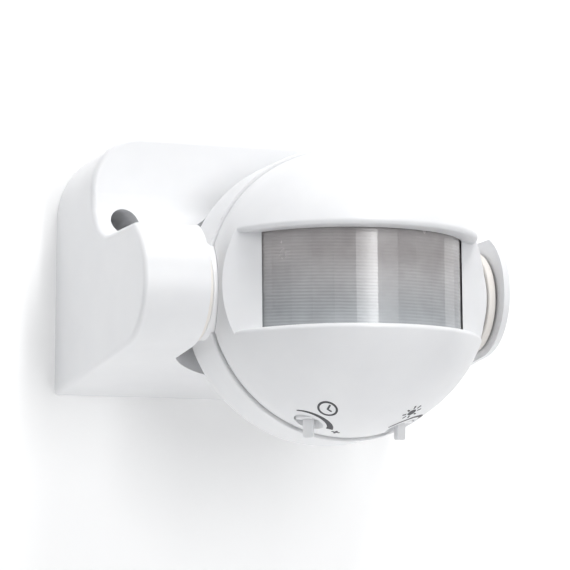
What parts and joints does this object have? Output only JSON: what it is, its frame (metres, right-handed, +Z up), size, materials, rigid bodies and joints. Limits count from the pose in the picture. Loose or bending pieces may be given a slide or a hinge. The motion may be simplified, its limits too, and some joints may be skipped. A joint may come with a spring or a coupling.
{
  "type": "motion sensor",
  "caption": "Wall-mounted passive infrared motion sensor: a wall base with two arms carrying a round tilting head with a curved lens window and two setting knobs underneath.",
  "frame": {"origin": "middle of the wall face of the base", "axes": "+Y into the wall, -Y out of the wall towards the viewer, +X to the right seen from the front, +Z up"},
  "size_m": [0.094, 0.0879, 0.0727],
  "materials": {
    "white_abs": "satin",
    "ivory_nylon": "satin",
    "lens_film": "translucent",
    "grey_plastic": "satin",
    "black_plastic": "satin",
    "terminal_plastic": "satin",
    "board_green": "solder mask",
    "relay_blue": "gloss",
    "capacitor_yellow": "gloss",
    "capacitor_sleeve": "gloss",
    "steel": "zinc plated",
    "brass": "nickel free",
    "rubber": "matte",
    "lead_sheath": "matte",
    "led_red": "clear tint",
    "sensor_can": "nickel"
  },
  "bodies": {
    "base": {"base_housing": "white_abs", "back_plate": "white_abs", "back_plate_screws": "steel", "cable_grommet": "rubber", "terminal_block": "terminal_plastic", "terminal_screws": "brass", "cable_clamp": "grey_plastic", "cable_clamp_screws": "steel", "base_lead": "lead_sheath"},
    "head": {"front_cover": "white_abs", "head_ring": "white_abs", "rear_cap": "white_abs", "head_screws": "steel", "head_seal": "rubber", "fresnel_lens": "lens_film", "lens_retainer": "black_plastic", "circuit_board": "board_green", "board_screws": "steel", "pir_sensor": "sensor_can", "pir_holder": "grey_plastic", "relay": "relay_blue", "film_capacitor": "capacitor_yellow", "electrolytic_capacitor": "capacitor_sleeve", "lead_connector": "terminal_plastic", "head_lead": "lead_sheath", "indicator_led": "led_red", "light_sensor": "ivory_nylon", "control_board": "board_green", "time_potentiometer": "grey_plastic", "lux_potentiometer": "grey_plastic", "left_washer": "ivory_nylon", "right_washer": "ivory_nylon", "trunnion": "grey_plastic", "trunnion_nut": "grey_plastic", "pivot_washer": "steel", "pivot_screw": "steel"},
    "time_knob": {"time_knob": "white_abs"},
    "lux_knob": {"lux_knob": "white_abs"}
  },
  "joints": [
    {"name": "head_tilt", "type": "hinge", "parent": "base", "child": "head", "pos_m": [0, -0.049, -0.0075], "axis": [-1, 0, 0], "range_deg": [-45, 40]},
    {"name": "time_knob_turn", "type": "hinge", "parent": "head", "child": "time_knob", "pos_m": [-0.0118, -0.06285, -0.03682], "axis": [0, 0.0523, 0.9986], "range_deg": [-100, 170]},
    {"name": "lux_knob_turn", "type": "hinge", "parent": "head", "child": "lux_knob", "pos_m": [0.0109, -0.06285, -0.03682], "axis": [0, 0.0523, 0.9986], "range_deg": [-150, 120]}
  ]
}
